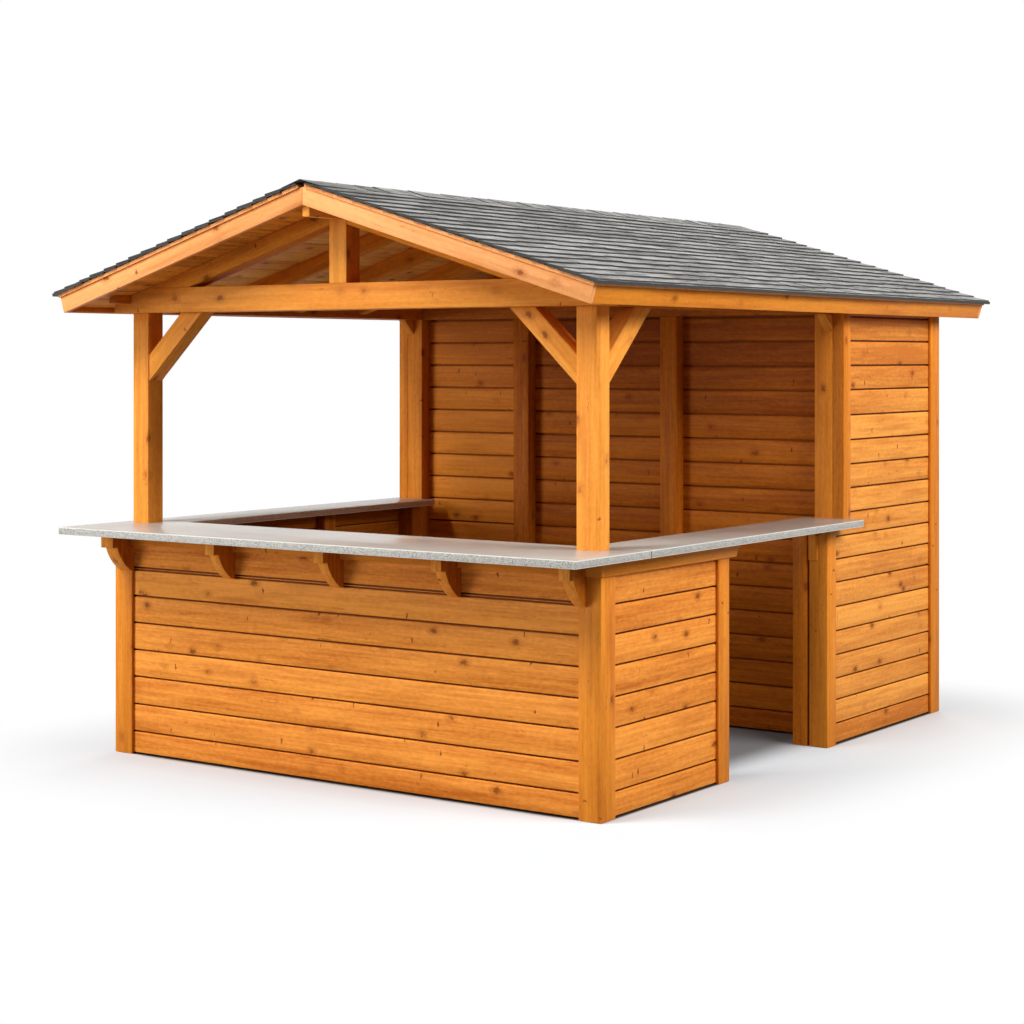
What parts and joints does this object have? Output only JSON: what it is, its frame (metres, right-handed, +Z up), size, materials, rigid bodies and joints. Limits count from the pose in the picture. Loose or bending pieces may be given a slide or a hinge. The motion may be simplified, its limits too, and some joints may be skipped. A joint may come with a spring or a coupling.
{
  "type": "garden bar gazebo",
  "caption": "Timber garden bar with a stone counter on its open sides, a closed store behind it and one low shingled gable roof.",
  "frame": {"origin": "on the ground, at the middle of the plan box", "axes": "+Z up, the bar front faces -Y, the ridge runs along Y, the entry is on the +X side"},
  "size_m": [3.1, 4.032, 2.6682],
  "materials": {
    "pine": "amber stained pine, satin",
    "pine_trim": "amber stained pine, satin",
    "stone": "honed grey stone",
    "shingles": "mineral granules on felt, matt"
  },
  "bodies": {
    "root": {"front_left_post": "pine_trim", "front_right_post": "pine_trim", "store_left_post": "pine_trim", "store_right_post": "pine_trim", "rear_left_post": "pine_trim", "rear_right_post": "pine_trim", "front_bar_wall": "pine", "left_bar_wall": "pine", "right_bar_wall": "pine", "partition_wall": "pine", "left_store_wall": "pine", "right_store_wall": "pine", "rear_wall": "pine", "bar_wall_studs": "pine", "counter_props": "pine", "partition_studs": "pine", "tie_beam": "pine", "king_post": "pine", "truss_rafters": "pine", "rafters": "pine", "store_beam": "pine", "left_plate": "pine", "right_plate": "pine", "ridge_beam": "pine", "knee_braces": "pine", "post_brackets": "pine", "front_left_corner_trim": "pine_trim", "front_right_corner_trim": "pine_trim", "entry_end_trim": "pine_trim", "entry_jamb_trim": "pine_trim", "store_trims": "pine_trim", "rear_corner_trims": "pine_trim", "counter_rails": "pine_trim", "corbels": "pine_trim", "front_bargeboards": "pine_trim", "rear_bargeboards": "pine_trim", "eave_fascias": "pine_trim", "front_counter": "stone", "left_counter": "stone", "right_counter": "stone", "left_roof_deck": "pine", "right_roof_deck": "pine", "left_shingles": "shingles", "right_shingles": "shingles", "ridge_cap": "shingles"}
  },
  "joints": []
}
